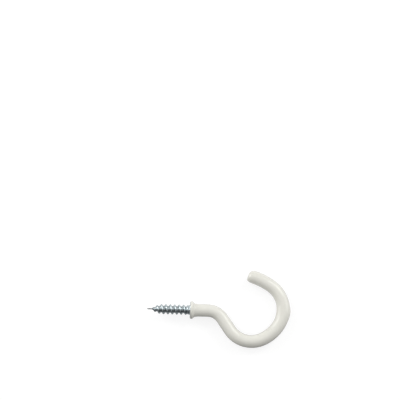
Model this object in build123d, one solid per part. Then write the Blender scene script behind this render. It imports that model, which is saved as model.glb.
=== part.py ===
from build123d import *
import os
from math import atan2, cos, degrees, hypot, radians, sin

# Cup hook, in millimetres: one plated steel wire with a rolled wood-screw thread and an upset collar,
# bent to a round hook, and a soft vinyl skin dipped over it from the collar's rim to the tip.
# The seat face of the collar is at the origin, the screw points along -X, the hook bends in the XY plane.

# Hook wire: straight shank, offset bend, link, round loop, then a lip that is almost straight.
# The loop is formed in three strokes: round at the near side, flatter at the back, round at the far side.
seat_to_bend = 31.75  # collar seat to the outside of the bend, the trade size (1 1/4 in)
wire_diameter = 2.84
offset_bend_radius = 5.7  # centreline radii
offset_bend_angle = 54.7
link_length = 4.4
near_bend_radius = 8.15
near_bend_angle = 78.6
back_bend_radius = 12.2
back_bend_angle = 36.9
far_bend_radius = 9.1
far_bend_angle = 85.2
lip_radius = 22
lip_length = 8.1  # along the curve, to the end of the vinyl
wire_end_chamfer = 0.25

# Collar, upset from the wire
collar_diameter = 5.15
collar_thickness = 0.75
collar_back_length = 0.7  # cone from the rim's back edge down to the wire
collar_edge_chamfer = 0.1
neck_length = 0.55  # plain wire between the collar and the thread
neck_flare = 0.2  # cone where the neck meets the seat

# Screw with a gimlet point
screw_length = 13.65  # seat to tip
thread_diameter = 3.15
root_diameter = 2.1
thread_pitch = 1.41
thread_start = 0.7  # from the seat
thread_run_in_turns = 0.5
thread_start_angle = 90  # turned so that the first full crest faces -Y
crest_width = 0.28
ridge_foot_width = 1.04
ridge_foot_depth = 0.12  # how far the ridge is rooted in the core
run_out_length = 0.45  # from the neck down to the thread's root
point_length = 4.2
point_tip_radius = 0.06
point_plain_share = 0.15  # part of the point, next to the tip, that has no thread

# Vinyl skin
coat_thickness = 0.65
coat_rim_thickness = 0.22  # over the collar's rim
coat_set_back = 0.12  # leaves the collar's front edge bare
coat_rim_end = 0.8  # from the seat
coat_flare_end = 2.0  # from the seat
coat_edge_chamfer = 0.12
coat_tip_thickness = 0.75
coat_tip_round = 1.3

wire_radius = wire_diameter / 2
coat_radius = wire_radius + coat_thickness
collar_radius = collar_diameter / 2
collar_end = collar_thickness + collar_back_length
coat_rim_radius = collar_radius + coat_rim_thickness
thread_radius = thread_diameter / 2
root_radius = root_diameter / 2
point_start = point_length - screw_length

# The shank is as long as the bends leave it between the seat and the loop's far side
bend = radians(offset_bend_angle)
near_heading = radians(near_bend_angle - offset_bend_angle)  # where the near bend ends
back_heading = near_heading + radians(back_bend_angle)
near_run = (offset_bend_radius + near_bend_radius) * sin(bend) + link_length * cos(bend)
back_run = (near_bend_radius - back_bend_radius) * sin(near_heading)
far_run = (back_bend_radius - far_bend_radius) * sin(back_heading) + far_bend_radius
shank_length = seat_to_bend - coat_radius - near_run - back_run - far_run


def centreline(start, end_cut):
    # from a place on the shank to the lip's end, less what is cut off there
    shank = Line((start, 0), (shank_length, 0))
    offset_bend = JernArc(shank @ 1, shank % 1, offset_bend_radius, -offset_bend_angle)
    link = PolarLine(offset_bend @ 1, link_length, direction=offset_bend % 1)
    near_bend = JernArc(link @ 1, link % 1, near_bend_radius, near_bend_angle)
    back_bend = JernArc(near_bend @ 1, near_bend % 1, back_bend_radius, back_bend_angle)
    far_bend = JernArc(back_bend @ 1, back_bend % 1, far_bend_radius, far_bend_angle)
    lip_angle = degrees((lip_length - end_cut) / lip_radius)
    lip = JernArc(far_bend @ 1, far_bend % 1, lip_radius, lip_angle)
    runs = [shank, offset_bend, link, near_bend, back_bend, far_bend, lip]
    return Wire([run.edge() for run in runs])


def round_bar(start, end_cut, radius):
    path = centreline(start, end_cut)
    section = Plane(path @ 0, z_dir=path % 0) * Circle(radius)
    return sweep(section, path), path @ 1


def end_rim(bar, tip):
    # the edge round a bar's flat end
    return bar.faces().filter_by(GeomType.PLANE).sort_by_distance(tip)[0].edges()


def corner(section, place):
    return section.vertices().sort_by_distance(place)[0]


def turned_core():
    # the screw's core, its neck and the collar, as one turned outline
    outline = Polyline(
        (-screw_length, 0),
        (-screw_length, point_tip_radius),
        (point_start, root_radius),
        (-neck_length - run_out_length, root_radius),
        (-neck_length, wire_radius),
        (0, wire_radius),
        (0, collar_radius),
        (collar_thickness, collar_radius),
        (collar_end, wire_radius),
        (collar_end, 0),
        close=True,
    )
    section = make_face(outline)
    section = chamfer(corner(section, (0, wire_radius)), neck_flare)
    section = chamfer(corner(section, (0, collar_radius)), collar_edge_chamfer)
    return revolve(section, Axis.X)


def coil(start, end):
    # a helix about the screw's axis between two (turn, place, radius) stations, tapered if the radii differ
    turns = end[0] - start[0]
    run = start[1] - end[1]
    rise = end[2] - start[2]
    cone_angle = degrees(atan2(rise, run))
    curve = Helix(hypot(run, rise) / turns, run, start[2], (start[1], 0, 0), (-1, 0, 0), cone_angle)
    return curve.edge().rotate(Axis.X, thread_start_angle - 360 * start[0])


def thread_stations():
    # (turn, place, size against the full thread, crest radius) from the neck to the point
    full_place = -thread_start - thread_run_in_turns * thread_pitch
    full_turns = (full_place - point_start) / thread_pitch
    point_end = -screw_length + point_length * point_plain_share
    stations = [(0, -thread_start, 1, wire_radius - ridge_foot_depth)]
    for turn in range(int(full_turns) + 1):
        place = full_place - turn * thread_pitch
        stations.append((thread_run_in_turns + turn, place, 1, thread_radius))
    last_turn = thread_run_in_turns + full_turns
    stations.append((last_turn, point_start, 1, thread_radius))
    tip_turn = last_turn + (point_start - point_end) / thread_pitch
    stations.append((tip_turn, point_end, point_plain_share, thread_radius * point_plain_share))
    return stations


def thread_ridge():
    # four helices carry the ridge: its two feet in the core and the two edges of its crest
    foot_radius = root_radius - ridge_foot_depth
    tracks = []
    for turn, place, size, crest_radius in thread_stations():
        foot = ridge_foot_width / 2 * size
        crest = crest_width / 2 * size
        tracks.append(
            (
                (turn, place + foot, foot_radius * size),
                (turn, place + crest, crest_radius),
                (turn, place - crest, crest_radius),
                (turn, place - foot, foot_radius * size),
            )
        )
    faces = []
    for here, there in zip(tracks, tracks[1:]):
        curves = [coil(start, end) for start, end in zip(here, there)]
        for one, other in zip(curves, curves[1:] + curves[:1]):
            faces.append(Face.make_surface_from_curves(one, other))
        if here is tracks[0]:
            first = [curve @ 0 for curve in curves]
        last = [curve @ 1 for curve in curves]
    for corners in (first, last):
        near_side = Edge.make_line(corners[0], corners[1])
        far_side = Edge.make_line(corners[3], corners[2])
        faces.append(Face.make_surface_from_curves(near_side, far_side))
    return Solid(Shell(faces))


def hook_core():
    # collar, screw core and bent wire, without the thread
    bar, tip = round_bar(collar_end, coat_tip_thickness, wire_radius)
    bar = chamfer(end_rim(bar, tip), wire_end_chamfer)
    return turned_core() + bar


def vinyl_coat(core):
    # thick round skin on the wire, flared over the collar's back and thin on its rim
    bar, tip = round_bar(coat_flare_end, 0, coat_radius)
    bar = fillet(end_rim(bar, tip), coat_tip_round)
    rim_corner = (coat_rim_end, coat_rim_radius)
    flare_foot = (coat_flare_end, coat_radius)
    flare = TangentArc(flare_foot, rim_corner, tangent=(-1, 0))
    outline = flare + Polyline(
        rim_corner,
        (coat_set_back, coat_rim_radius),
        (coat_set_back, 0),
        (coat_flare_end, 0),
        flare_foot,
    )
    section = make_face(outline)
    section = chamfer(corner(section, (coat_set_back, coat_rim_radius)), coat_edge_chamfer)
    return bar + revolve(section, Axis.X) - core


core = hook_core()
parts = {
    "steel_hook": core + thread_ridge(),
    "vinyl_coat": vinyl_coat(core),
}

os.makedirs("parts", exist_ok=True)
for name, shape in parts.items():
    export_step(shape, f"parts/{name}.step")
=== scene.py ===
import bpy
import bmesh
from math import cos, exp, hypot, pi, radians, sin, sqrt
from mathutils import Matrix, Vector, noise


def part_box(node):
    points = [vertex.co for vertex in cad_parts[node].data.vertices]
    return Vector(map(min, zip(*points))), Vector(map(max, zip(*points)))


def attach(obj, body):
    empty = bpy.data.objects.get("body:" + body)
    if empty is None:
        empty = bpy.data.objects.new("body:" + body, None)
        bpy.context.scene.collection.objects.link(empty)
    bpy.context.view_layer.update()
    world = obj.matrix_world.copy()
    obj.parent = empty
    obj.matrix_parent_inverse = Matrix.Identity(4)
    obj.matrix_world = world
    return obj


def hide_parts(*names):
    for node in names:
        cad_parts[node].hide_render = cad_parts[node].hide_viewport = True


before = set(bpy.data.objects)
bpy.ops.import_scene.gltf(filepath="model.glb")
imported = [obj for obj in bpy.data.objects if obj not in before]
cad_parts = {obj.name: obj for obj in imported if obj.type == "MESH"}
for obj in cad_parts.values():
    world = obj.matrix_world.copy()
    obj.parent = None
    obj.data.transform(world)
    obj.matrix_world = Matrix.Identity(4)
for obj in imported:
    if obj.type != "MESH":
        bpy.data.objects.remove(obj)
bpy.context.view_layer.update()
_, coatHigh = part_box("vinyl_coat")
steelLow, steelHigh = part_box("steel_hook")
mm = 0.001
mergeReach = 1e-7
endRings = (0.75, 0.5, 0.25)  # rings on a flat end, as shares of its radius
noiseRange = (0.3, 0.7)  # where most of a noise texture's values lie
print("frame loaded:", sorted(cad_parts))

# bends of the wire, shared by the vinyl and the steel inside it
hookBends = {
    "wireRadius": 1.42 * mm,
    "coatThickness": 0.65 * mm,
    "offsetRadius": 5.7 * mm,
    "offsetAngle": radians(54.7),
    "linkLength": 4.4 * mm,
    "loopBends": ((8.15 * mm, radians(78.6)), (12.2 * mm, radians(36.9)), (9.1 * mm, radians(85.2))),
    "lipRadius": 22 * mm,
    "lipLength": 8.1 * mm,
    "ringSides": 64,
    "bendStep": radians(2.4),
    "straightStep": 0.5 * mm,
}
coatRadius = hookBends["wireRadius"] + hookBends["coatThickness"]


def shankEnd():
    # where the shank stops, so that the loop's far side comes out at the box
    bends = hookBends
    heading = -bends["offsetAngle"]
    reach = bends["linkLength"] * cos(heading) - bends["offsetRadius"] * sin(heading)
    for radius, angle in bends["loopBends"]:
        middle = reach - radius * sin(heading)
        heading += angle
        reach = middle + radius * sin(heading)
    return coatHigh.x - coatRadius - middle - radius


def ringVerts(edges):
    # in order, so that sums over a ring come out alike in each run
    return list(dict.fromkeys(v for e in edges for v in e.verts))


def ringAlongX(bm, x, radius):
    # a ring round the screw's axis
    place = Matrix.Translation((x, 0, 0)) @ Matrix.Rotation(pi / 2, 4, "Y")
    made = bmesh.ops.create_circle(bm, segments=hookBends["ringSides"], radius=radius, matrix=place)
    return list(dict.fromkeys(e for v in made["verts"] for e in v.link_edges))


def pullRing(bm, edges, move, scale=1.0):
    # extrudes a ring, moves it and scales it about its own centre
    made = bmesh.ops.extrude_edge_only(bm, edges=edges)["geom"]
    ring = [g for g in made if isinstance(g, bmesh.types.BMEdge)]
    verts = ringVerts(ring)
    bmesh.ops.translate(bm, verts=verts, vec=move)
    centre = sum((v.co for v in verts), Vector()) / len(verts)
    bmesh.ops.scale(bm, verts=verts, vec=(scale, scale, scale), space=Matrix.Translation(-centre))
    return ring


def turnStations(bm, edges, stations):
    # follows (place, radius) stations along the screw's axis
    for (x0, r0), (x1, r1) in zip(stations, stations[1:]):
        edges = pullRing(bm, edges, (x1 - x0, 0, 0), r1 / r0)
    return edges


def straightRun(bm, edges, way, length):
    steps = max(1, round(length / hookBends["straightStep"]))
    for _ in range(steps):
        edges = pullRing(bm, edges, way * (length / steps))
    return edges


def spinBend(bm, edges, centre, angle):
    geom = edges + ringVerts(edges)
    steps = round(abs(angle) / hookBends["bendStep"])
    spun = bmesh.ops.spin(bm, geom=geom, cent=centre, axis=(0, 0, 1), angle=angle, steps=steps)
    return [g for g in spun["geom_last"] if isinstance(g, bmesh.types.BMEdge)]


def followBends(bm, edges, startX, endCut):
    # shank, offset bend, link, loop and lip, as the wire runs
    bends = hookBends
    here, way = Vector((shankEnd(), 0, 0)), Vector((1, 0, 0))
    edges = straightRun(bm, edges, way, here.x - startX)
    lip = (bends["lipRadius"], (bends["lipLength"] - endCut) / bends["lipRadius"])
    for radius, angle in ((bends["offsetRadius"], -bends["offsetAngle"]), *bends["loopBends"], lip):
        side = Vector((-way.y, way.x, 0)) * (radius if angle > 0 else -radius)
        centre, turned = here + side, Matrix.Rotation(angle, 3, "Z")
        edges = spinBend(bm, edges, centre, angle)
        here, way = centre - turned @ side, turned @ way
        if angle < 0:
            edges = straightRun(bm, edges, way, bends["linkLength"])
            here = here + way * bends["linkLength"]
    return edges, way


def roundEnd(bm, edges, way, radius, rounding, run, steps, lean=0):
    # rounds the end of a bar over to a flat face and closes it
    # an end that leans is fuller on the bend's inner side
    inside = Vector((-way.y, way.x, 0)) * lean
    lastOut, lastRadius = 0, radius
    for step in range(1, steps + 1):
        turn = step / steps * pi / 2
        out = run * sin(turn)
        size = radius - rounding * (1 - cos(turn))
        move = way * (out - lastOut) + inside * (lastRadius - size)
        edges = pullRing(bm, edges, move, size / lastRadius)
        lastOut, lastRadius = out, size
    for share in endRings:
        edges = pullRing(bm, edges, Vector(), share * (radius - rounding) / lastRadius)
        lastRadius = share * (radius - rounding)
    bmesh.ops.contextual_create(bm, geom=edges)


def placeObject(name, data):
    thing = bpy.data.objects.new(name, data)
    bpy.context.scene.collection.objects.link(thing)
    return thing


def placeMesh(bm, name, material):
    mesh = bpy.data.meshes.new(name)
    bm.to_mesh(mesh)
    bm.free()
    mesh.materials.append(material)
    return placeObject(name, mesh)


def finishPiece(bm, name, material, sharpAngle):
    # one closed outward mesh at the origin, smooth but for its real edges
    bmesh.ops.remove_doubles(bm, verts=bm.verts, dist=mergeReach)
    bmesh.ops.recalc_face_normals(bm, faces=bm.faces)
    piece = placeMesh(bm, name, material)
    piece.data.shade_smooth()
    piece.data.set_sharp_from_angle(angle=sharpAngle)
    return piece


def newMaterial(name):
    material = bpy.data.materials.new(name)
    material.use_nodes = True
    nodes = material.node_tree.nodes
    return material, nodes, material.node_tree.links, nodes["Principled BSDF"]


marksForm = {"cloudDetail": 3, "speckDetail": 2, "siftFrom": 0.6, "siftTo": 0.75, "speckHeight": 0.25}


def surfaceMarksGroup():
    # soft clouds, fine specks and a height, for any of the finishes
    form = marksForm
    group = bpy.data.node_groups.new("surfaceMarks", "ShaderNodeTree")
    face = group.interface
    face.new_socket("Vector", in_out="INPUT", socket_type="NodeSocketVector")
    face.new_socket("Cloud Scale", in_out="INPUT", socket_type="NodeSocketFloat")
    face.new_socket("Speck Scale", in_out="INPUT", socket_type="NodeSocketFloat")
    face.new_socket("Clouds", in_out="OUTPUT", socket_type="NodeSocketFloat")
    face.new_socket("Specks", in_out="OUTPUT", socket_type="NodeSocketFloat")
    face.new_socket("Height", in_out="OUTPUT", socket_type="NodeSocketFloat")
    nodes, links = group.nodes, group.links
    entry = nodes.new("NodeGroupInput")
    leave = nodes.new("NodeGroupOutput")
    clouds = nodes.new("ShaderNodeTexNoise")
    clouds.inputs["Detail"].default_value = form["cloudDetail"]
    specks = nodes.new("ShaderNodeTexNoise")
    specks.inputs["Detail"].default_value = form["speckDetail"]
    sift = nodes.new("ShaderNodeMapRange")
    sift.inputs["From Min"].default_value = form["siftFrom"]
    sift.inputs["From Max"].default_value = form["siftTo"]
    blend = nodes.new("ShaderNodeMath")
    blend.operation = "MULTIPLY_ADD"
    blend.inputs[1].default_value = form["speckHeight"]
    for texture, scale in ((clouds, "Cloud Scale"), (specks, "Speck Scale")):
        links.new(entry.outputs["Vector"], texture.inputs["Vector"])
        links.new(entry.outputs[scale], texture.inputs["Scale"])
    links.new(specks.outputs["Fac"], sift.inputs["Value"])
    links.new(specks.outputs["Fac"], blend.inputs[0])
    links.new(clouds.outputs["Fac"], blend.inputs[2])
    links.new(clouds.outputs["Fac"], leave.inputs["Clouds"])
    links.new(sift.outputs["Result"], leave.inputs["Specks"])
    links.new(blend.outputs["Value"], leave.inputs["Height"])
    return group


surfaceMarks = surfaceMarksGroup()


def placeMarks(nodes, links, cloudScale, speckScale):
    marks = nodes.new("ShaderNodeGroup")
    marks.node_tree = surfaceMarks
    marks.inputs["Cloud Scale"].default_value = cloudScale
    marks.inputs["Speck Scale"].default_value = speckScale
    where = nodes.new("ShaderNodeTexCoord")
    links.new(where.outputs["Object"], marks.inputs["Vector"])
    return marks, where


def mixColours(nodes, links, factor, first, second):
    mix = nodes.new("ShaderNodeMix")
    mix.data_type = "RGBA"
    links.new(factor, mix.inputs["Factor"])
    for socket, colour in ((mix.inputs["A"], first), (mix.inputs["B"], second)):
        if isinstance(colour, tuple):
            socket.default_value = (*colour, 1)
        else:
            links.new(colour, socket)
    return mix.outputs["Result"]


def mixLevels(nodes, links, factor, first, second):
    mix = nodes.new("ShaderNodeMix")
    links.new(factor, mix.inputs["Factor"])
    for socket, level in ((mix.inputs["A"], first), (mix.inputs["B"], second)):
        if isinstance(level, float):
            socket.default_value = level
        else:
            links.new(level, socket)
    return mix.outputs["Result"]


def spread(nodes, links, value, low, high, fromLow=0.0, fromHigh=1.0):
    ranger = nodes.new("ShaderNodeMapRange")
    ranger.inputs["From Min"].default_value = fromLow
    ranger.inputs["From Max"].default_value = fromHigh
    ranger.inputs["To Min"].default_value = low
    ranger.inputs["To Max"].default_value = high
    links.new(value, ranger.inputs["Value"])
    return ranger.outputs["Result"]


def joinValues(nodes, links, operation, first, second):
    join = nodes.new("ShaderNodeMath")
    join.operation = operation
    links.new(first, join.inputs[0])
    links.new(second, join.inputs[1])
    return join.outputs["Value"]


def splitAxes(nodes, links, place):
    split = nodes.new("ShaderNodeSeparateXYZ")
    links.new(place, split.inputs["Vector"])
    return split.outputs


def bumpFrom(nodes, links, shader, height, strength, distance):
    bump = nodes.new("ShaderNodeBump")
    bump.inputs["Strength"].default_value = strength
    bump.inputs["Distance"].default_value = distance
    links.new(height, bump.inputs["Height"])
    links.new(bump.outputs["Normal"], shader.inputs["Normal"])


# white dipped vinyl
vinylFinish = {
    "cream": (0.80, 0.788, 0.712),
    "milk": (0.83, 0.823, 0.765),
    "speck": (0.66, 0.64, 0.57),
    "speckShare": 0.12,
    "cloudScale": 260,
    "speckScale": 5200,
    "roughLow": 0.08,
    "roughHigh": 0.13,
    "bumpStrength": 0.04,
    "bumpDepth": 0.02 * mm,
    "ior": 1.5,
}


def vinylMaterial():
    look = vinylFinish
    material, nodes, links, shader = newMaterial("whiteVinyl")
    marks, _ = placeMarks(nodes, links, look["cloudScale"], look["speckScale"])
    shade = mixColours(nodes, links, marks.outputs["Clouds"], look["cream"], look["milk"])
    dust = spread(nodes, links, marks.outputs["Specks"], 0, look["speckShare"])
    colour = mixColours(nodes, links, dust, shade, look["speck"])
    links.new(colour, shader.inputs["Base Color"])
    rough = spread(nodes, links, marks.outputs["Clouds"], look["roughLow"], look["roughHigh"], *noiseRange)
    links.new(rough, shader.inputs["Roughness"])
    bumpFrom(nodes, links, shader, marks.outputs["Height"], look["bumpStrength"], look["bumpDepth"])
    shader.inputs["IOR"].default_value = look["ior"]
    return material


# bright zinc plate
zincFinish = {
    "bright": (0.68, 0.74, 0.755),
    "blue": (0.56, 0.63, 0.655),
    # the thread's roots: grime, and painted shade where they lie deep
    "root": (0.38, 0.43, 0.45),
    "point": (0.1, 0.11, 0.115),
    "darkTipRun": (1.3 * mm, 2.6 * mm),  # from the tip
    "edgeTint": (0.25, 0.27, 0.28),
    "grimeShadeLow": 0.7,  # least share of the root's colour, grime and painted shade, in the thread's depth
    "cloudScale": 420,
    "speckScale": 6500,
    "roughLow": 0.16,
    "roughHigh": 0.32,
    "roughRange": (0.4, 0.9),
    "bumpStrength": 0.2,
    "bumpDepth": 0.02 * mm,
}


# gimlet-pointed wood screw, its collar and the wire inside the vinyl
screwForm = {
    "crestRadius": 1.575 * mm,
    "rootRadius": 1.05 * mm,
    "pitch": 1.41 * mm,
    "firstCrest": -1.405 * mm,  # on the -Y side
    "pointLength": 4.2 * mm,
    "neckFrom": -1.25 * mm,
    "neckTo": -0.55 * mm,
    "stepsPerTurn": 56,
    "coilMerge": 1e-6,
    "spareTurns": 2,  # coils past the neck and past the tip, cut off again
    "buried": 0.4 * mm,
    "rootShare": 0.319,  # half width of the ridge's foot, against the pitch
    "crestShare": 0.099,
    "footCorner": ((-0.1, 0), (-0.03, 0.025), (0.03, 0.11)),  # share past the foot's edge, height share
    "crestCorner": ((-0.03, 0.88), (0.015, 0.965)),  # the same, past the crest's edge
    "crestTop": (0.45, 0.995),
    "needleRadius": 0.15 * mm,
    "needleSlim": 0.65,  # how much slimmer than a cone the plain point is
    "needleShares": (0.25, 0.6),  # of the point's length, from the tip
    "needleBlunt": 0.4,  # the needle's end against its full radius
    "bluntShare": 0.06,  # of the point's length
    "leastShare": 0.02,  # keeps the tip's end off the axis
    "firstCoilShares": (0.3, 0.6),
    "sharpAngle": radians(40),
}
collarForm = {
    "thickness": 0.75 * mm,
    "backLength": 0.7 * mm,
    "edge": 0.1 * mm,
    "edgeShare": 0.3,  # how far in the rounded edge's middle lies
    "neckFlare": 0.2 * mm,
    "flareShares": ((0.5, 0.32), (0.15, 0.75)),  # of the flare, from the seat and out from the wire
    "tuck": 0.02 * mm,  # starts inside the screw's neck
    "chamferSteps": 2,
    "wireEndCut": 0.75 * mm,
    "wireChamfer": 0.25 * mm,
}


def zincMaterial():
    look = zincFinish
    material, nodes, links, shader = newMaterial("brightZinc")
    marks, where = placeMarks(nodes, links, look["cloudScale"], look["speckScale"])
    # how deep in the thread a point lies, from its distance to the axis
    axisOnly = nodes.new("ShaderNodeVectorMath")
    axisOnly.operation = "MULTIPLY"
    axisOnly.inputs[1].default_value = (0, 1, 1)
    reach = nodes.new("ShaderNodeVectorMath")
    reach.operation = "LENGTH"
    links.new(where.outputs["Object"], axisOnly.inputs[0])
    links.new(axisOnly.outputs["Vector"], reach.inputs[0])
    root, crest = screwForm["rootRadius"], screwForm["crestRadius"]
    inRoot = spread(nodes, links, reach.outputs["Value"], 1, 0, root, crest)
    shade = mixColours(nodes, links, marks.outputs["Clouds"], look["blue"], look["bright"])
    patches = spread(nodes, links, marks.outputs["Clouds"], look["grimeShadeLow"], 1, *noiseRange)
    # darkens the thread's roots towards the axis: grime, and painted shade in the thread's depth
    grimeAndShade = joinValues(nodes, links, "MULTIPLY", inRoot, patches)
    colour = mixColours(nodes, links, grimeAndShade, shade, look["root"])
    # the drawn-out point is darker towards the tip
    along = splitAxes(nodes, links, where.outputs["Object"])["X"]
    darkTipFrom, darkTipTo = (steelLow.x + run for run in look["darkTipRun"])
    darkTip = spread(nodes, links, along, 1, 0, darkTipFrom, darkTipTo)
    colour = mixColours(nodes, links, darkTip, colour, look["point"])
    links.new(colour, shader.inputs["Base Color"])
    roughs = (look["roughLow"], look["roughHigh"], *look["roughRange"])
    links.new(spread(nodes, links, marks.outputs["Height"], *roughs), shader.inputs["Roughness"])
    shader.inputs["Metallic"].default_value = 1
    shader.inputs["Specular Tint"].default_value = (*look["edgeTint"], 1)
    bumpFrom(nodes, links, shader, marks.outputs["Height"], look["bumpStrength"], look["bumpDepth"])
    return material


def threadOutline():
    # one pitch of the thread as (share along the pitch, height share), with softened corners
    form = screwForm
    foot, crest = form["rootShare"], form["crestShare"]
    topShare, topHeight = form["crestTop"]
    half = [
        (-0.5, 0),
        *((share - foot, height) for share, height in form["footCorner"]),
        (-(foot + crest) / 2, 0.5),
        *((share - crest, height) for share, height in form["crestCorner"]),
        (-crest * topShare, topHeight),
    ]
    return half + [(-share, height) for share, height in reversed(half)]


def threadedScrew(bm):
    form = screwForm
    tipX = steelLow.x
    turns = int(-tipX / form["pitch"]) + 2 * form["spareTurns"]
    startX = form["firstCrest"] + form["spareTurns"] * form["pitch"]
    deep = form["crestRadius"] - form["rootRadius"]
    verts = []
    for share, height in threadOutline():
        radius = form["rootRadius"] + deep * height
        verts.append(bm.verts.new((startX - share * form["pitch"], -radius, 0)))
    edges = [bm.edges.new(pair) for pair in zip(verts, verts[1:])]
    steps = form["stepsPerTurn"]
    bmesh.ops.spin(
        bm,
        geom=verts + edges,
        cent=(0, 0, 0),
        axis=(-1, 0, 0),
        dvec=(-form["pitch"] / steps, 0, 0),
        angle=2 * pi * turns,
        steps=steps * turns,
    )
    bmesh.ops.remove_doubles(bm, verts=bm.verts, dist=form["coilMerge"])
    for cut, way in ((form["buried"], 1), (tipX, -1)):
        geom = bm.verts[:] + bm.edges[:] + bm.faces[:]
        bmesh.ops.bisect_plane(bm, geom=geom, plane_co=(cut, 0, 0), plane_no=(way, 0, 0), clear_outer=True)
    for vert in bm.verts:
        shapeScrewVert(vert, tipX)
    rims = [e for e in bm.edges if e.is_boundary]
    bmesh.ops.holes_fill(bm, edges=rims, sides=0)


def easeBetween(value, low, high):
    share = min(1, max(0, (value - low) / (high - low)))
    return share * share * (3 - 2 * share)


def shapeScrewVert(vert, tipX):
    # draws the thread down to the gimlet point and fades it into the plain neck
    form = screwForm
    radius = hypot(vert.co.y, vert.co.z)
    height = (radius - form["rootRadius"]) / (form["crestRadius"] - form["rootRadius"])
    alongPoint = min(1, max(form["leastShare"], (vert.co.x - tipX) / form["pointLength"]))
    slim = 1 - form["needleSlim"] * (1 - easeBetween(alongPoint, *form["needleShares"]))
    blunt = form["needleBlunt"]
    needle = form["needleRadius"] * (blunt + (1 - blunt) * easeBetween(alongPoint, 0, form["bluntShare"]))
    core = max(needle, form["rootRadius"] * alongPoint * slim)
    ridge = form["crestRadius"] * alongPoint - core
    wanted = core + height * ridge * easeBetween(alongPoint, *form["firstCoilShares"])
    intoNeck = easeBetween(vert.co.x, form["neckFrom"], form["neckTo"])
    wanted = wanted * (1 - intoNeck) + hookBends["wireRadius"] * intoNeck
    vert.co.y *= wanted / radius
    vert.co.z *= wanted / radius


def collarAndWire(bm):
    form, wire = collarForm, hookBends["wireRadius"]
    collar, flare, edge = steelHigh.z, form["neckFlare"], form["edge"]
    corner = edge * form["edgeShare"]
    stations = [
        (-flare - form["tuck"], wire - form["tuck"]),
        *((-flare * back, wire + flare * out) for back, out in form["flareShares"]),
        (0, wire + flare),
        (0, collar - edge),
        (corner, collar - corner),
        (edge, collar),
        (form["thickness"], collar),
        (form["thickness"] + form["backLength"], wire),
    ]
    edges = ringAlongX(bm, *stations[0])
    bmesh.ops.contextual_create(bm, geom=edges)
    edges = turnStations(bm, edges, stations)
    edges, way = followBends(bm, edges, stations[-1][0], form["wireEndCut"] + form["wireChamfer"])
    roundEnd(bm, edges, way, wire, form["wireChamfer"], form["wireChamfer"], form["chamferSteps"])


def zincScrew():
    bm = bmesh.new()
    threadedScrew(bm)
    collarAndWire(bm)
    return finishPiece(bm, "zincScrew", zincMaterial(), screwForm["sharpAngle"])


# the skin: thin on the collar's rim, flared behind it, round on the wire, rounded over at the tip
coatForm = {
    "setBack": 0.12 * mm,
    "edge": 0.14 * mm,
    "edgeSteps": 4,
    "rimEnd": 0.8 * mm,
    "flareEnd": 2.0 * mm,
    "flareSteps": 10,
    "tipRound": 1.2 * mm,
    "tipRun": 1.9 * mm,
    "tipLean": 0.4,
    "tipSteps": 12,
    "tipThickness": 0.75 * mm,
    "thin": 0.075 * mm,  # drained skin from the collar to the back of the loop
    "thinUntil": (17 * mm, 26 * mm),
    "thinBelow": 3 * mm,  # the lip lies above this and stays full
    "sag": 0.03 * mm,  # how far the dipped skin wavers
    "sagLength": 5 * mm,
    "drip": 0.26 * mm,  # the skin gathered at the bend's far side, the lowest point after dipping
    "dripLength": 2.2 * mm,
    "dripInside": 0.45,  # how much of it hangs on the inner side of the bend
    "dripFrom": 0.7,  # of the hook's reach
    "sharpAngle": radians(50),
}


def coatStations():
    form = coatForm
    rim = coatHigh.z
    stations = [(form["setBack"], steelHigh.z)]
    for step in range(form["edgeSteps"] + 1):
        turn = step / form["edgeSteps"] * pi / 2
        x = form["setBack"] + form["edge"] * (1 - sin(turn))
        stations.append((x, rim - form["edge"] * (1 - cos(turn))))
    stations = [stations[0]] + stations[:0:-1]
    run, rise = form["flareEnd"] - form["rimEnd"], rim - coatRadius
    flare = (run * run + rise * rise) / (2 * rise)
    for step in range(form["flareSteps"] + 1):
        x = form["rimEnd"] + run * step / form["flareSteps"]
        back = form["flareEnd"] - x
        stations.append((x, coatRadius + flare - sqrt(flare * flare - back * back)))
    return stations


def waver(bm):
    # the dipped skin isn't quite even: it swells and thins a little along the wire
    for vert in bm.verts:
        swell = noise.noise(vert.co / coatForm["sagLength"]) * coatForm["sag"]
        if vert.co.y < coatForm["thinBelow"] and vert.co.x > coatForm["flareEnd"]:
            swell -= coatForm["thin"] * (1 - easeBetween(vert.co.x, *coatForm["thinUntil"]))
        if vert.co.x > coatHigh.x * coatForm["dripFrom"]:
            side = 1 if vert.normal.x > 0 else coatForm["dripInside"]
            drip = coatForm["drip"] * side * vert.normal.x ** 2
            swell += drip * exp(-((vert.co.y / coatForm["dripLength"]) ** 2))
        vert.co += vert.normal * swell


def vinylSkin():
    form = coatForm
    bm = bmesh.new()
    stations = coatStations()
    mouth = ringAlongX(bm, *stations[0])
    edges = turnStations(bm, mouth, stations)
    edges, way = followBends(bm, edges, stations[-1][0], form["tipRun"])
    tip = (form["tipRound"], form["tipRun"], form["tipSteps"], form["tipLean"])
    roundEnd(bm, edges, way, coatRadius, *tip)
    bm.normal_update()
    waver(bm)
    # inner wall, on the collar and the wire
    collar, wire = collarForm, hookBends["wireRadius"]
    inner = [
        stations[0],
        (collar["thickness"], steelHigh.z),
        (collar["thickness"] + collar["backLength"], wire),
    ]
    mouth = [e for e in bm.edges if e.is_boundary]
    edges = turnStations(bm, mouth, inner)
    edges, _ = followBends(bm, edges, inner[-1][0], form["tipThickness"])
    bmesh.ops.contextual_create(bm, geom=edges)
    return finishPiece(bm, "vinylSkin", vinylMaterial(), form["sharpAngle"])


skin = vinylSkin()
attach(skin, "root")
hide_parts("vinyl_coat")
print("vinyl skin:", len(skin.data.polygons), "faces")

screw = zincScrew()
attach(screw, "root")
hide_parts("steel_hook")
print("zinc screw:", len(screw.data.polygons), "faces")


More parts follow.
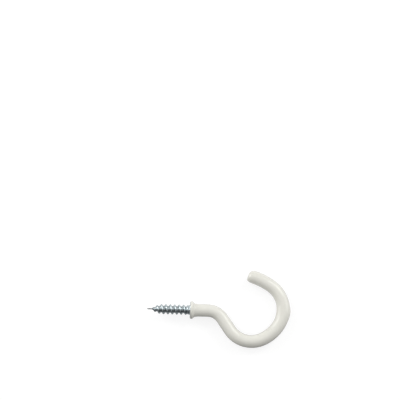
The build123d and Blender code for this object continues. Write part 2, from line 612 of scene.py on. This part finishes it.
# floor under the hook as it lies: on the collar's rim and the far side of the bend
floorLook = {
    "size": 1.6,
    "paper": 0.25,
    "rough": 0.9,
    "lift": 0.8,
    "shade": 0.05,  # of that lift in front of the hook, for reflections
    "shadeFrom": -7 * mm,
    "shadeTo": 1 * mm,
    "rimShare": 0.6,  # where the collar's rim rests, along its width
}


def floorMaterial():
    look = floorLook
    material, nodes, links, shader = newMaterial("paleFloor")
    shader.inputs["Base Color"].default_value = (look["paper"],) * 3 + (1,)
    shader.inputs["Roughness"].default_value = look["rough"]
    # lifts the paper to white for the eye and for the metal's reflections, and keeps the shadow
    path = nodes.new("ShaderNodeLightPath").outputs
    # the metal mirrors bright paper behind the hook and shaded paper in front of it
    where = nodes.new("ShaderNodeTexCoord")
    depth = splitAxes(nodes, links, where.outputs["Object"])["Y"]
    clear = spread(nodes, links, depth, look["shade"], 1, look["shadeFrom"], look["shadeTo"])
    mirrored = joinValues(nodes, links, "MULTIPLY", path["Is Glossy Ray"], clear)
    seen = joinValues(nodes, links, "MAXIMUM", path["Is Camera Ray"], mirrored)
    glow = spread(nodes, links, seen, 0, look["lift"])
    shader.inputs["Emission Color"].default_value = (1, 1, 1, 1)
    links.new(glow, shader.inputs["Emission Strength"])
    return material


def paleFloor():
    rimX = coatForm["rimEnd"] * floorLook["rimShare"]
    farX = coatHigh.x - coatRadius
    slope = (coatHigh.z - coatRadius) / (farX - rimX)
    bm = bmesh.new()
    bmesh.ops.create_grid(bm, x_segments=1, y_segments=1, size=floorLook["size"])
    for vert in bm.verts:
        vert.co.z = -coatHigh.z + (vert.co.x - rimX) * slope - coatForm["sag"]
    floor = placeMesh(bm, "paleFloor", floorMaterial())


paleFloor()
print("floor laid")


# studio: a soft sky lights the hook, and reflections show a dark room in front and a bright wall behind
studioSky = {
    "horizon": 0.04,
    "front": 0.63,
    "frontFrom": 0.75,
    "back": 0.31,
    "zenith": 0.81,
    "sideRun": (-0.25, 0.25),
    "zenithRun": (0.75, 1),
}
mirroredSky = {"front": 0.07, "back": 0.62, "from": -0.8, "to": 0.15}
hookMiddle = Vector((0.012, 0, 0))  # what the soft boxes face
softBoxes = {
    "rightLow": {"at": (0.43, 0.29, 0.17), "wide": 0.44, "high": 0.26, "watts": 0.76},
    "leftLow": {"at": (-0.47, 0.22, 0.16), "wide": 0.44, "high": 0.26, "watts": 1.0},
    "rightHigh": {"at": (0.42, 0.2, 0.32), "wide": 0.4, "high": 0.2, "watts": 0.33},
    "leftHigh": {"at": (-0.43, 0.18, 0.32), "wide": 0.4, "high": 0.2, "watts": 0.28},
    "rightBack": {"at": (0.261, 0.276, 0.335), "wide": 0.16, "high": 0.15, "watts": 0.37},
    "leftBack": {"at": (-0.29, 0.236, 0.321), "wide": 0.2, "high": 0.1, "watts": 0.3},
}


def studioWorld():
    sky, wall = studioSky, mirroredSky
    world = bpy.data.worlds.new("studioSky")
    bpy.context.scene.world = world
    world.use_nodes = True
    nodes, links = world.node_tree.nodes, world.node_tree.links
    where = nodes.new("ShaderNodeTexCoord")
    _, depth, height = splitAxes(nodes, links, where.outputs["Generated"])
    front = spread(nodes, links, height, sky["horizon"], sky["front"], 0, sky["frontFrom"])
    side = spread(nodes, links, depth, 0, 1, *sky["sideRun"])
    around = mixLevels(nodes, links, side, front, sky["back"])
    overhead = spread(nodes, links, height, 0, 1, *sky["zenithRun"])
    lit = mixLevels(nodes, links, overhead, around, sky["zenith"])
    mirrored = spread(nodes, links, depth, wall["front"], wall["back"], wall["from"], wall["to"])
    path = nodes.new("ShaderNodeLightPath")
    shown = mixLevels(nodes, links, path.outputs["Is Glossy Ray"], lit, mirrored)
    links.new(shown, nodes["Background"].inputs["Color"])


def softBox(name, box):
    lamp = bpy.data.lights.new(name, "AREA")
    lamp.shape = "RECTANGLE"
    lamp.size, lamp.size_y = box["wide"], box["high"]
    lamp.energy = box["watts"]
    light = placeObject(name, lamp)
    light.location = box["at"]
    light.rotation_euler = (hookMiddle - light.location).to_track_quat("-Z", "Y").to_euler()


studioWorld()
for boxName, box in softBoxes.items():
    softBox(boxName, box)
print("studio lit")


# camera over the hook, as in the photograph
cameraPlace = {
    "lookAt": Vector((0.00205, 0.0364, -0.0024)),
    "distance": 0.45,
    "elevation": radians(78),
    "turn": radians(1.75),
    "lens": 124.4,
    "sensor": 36,
    "clipStart": 0.01,
}


def hookCamera():
    place = cameraPlace
    lens = bpy.data.cameras.new("hookCamera")
    lens.sensor_width = place["sensor"]
    lens.lens = place["lens"]
    lens.clip_start = place["clipStart"]
    camera = placeObject("hookCamera", lens)
    flat = cos(place["elevation"])
    away = Vector((sin(place["turn"]) * flat, -cos(place["turn"]) * flat, sin(place["elevation"])))
    right = Vector((cos(place["turn"]), sin(place["turn"]), 0))
    turned = Matrix((right, away.cross(right), away)).transposed()
    camera.location = place["lookAt"] + away * place["distance"]
    camera.rotation_euler = turned.to_euler()
    bpy.context.scene.camera = camera


hookCamera()
bpy.context.scene.view_settings.view_transform = "Standard"
print("camera set")
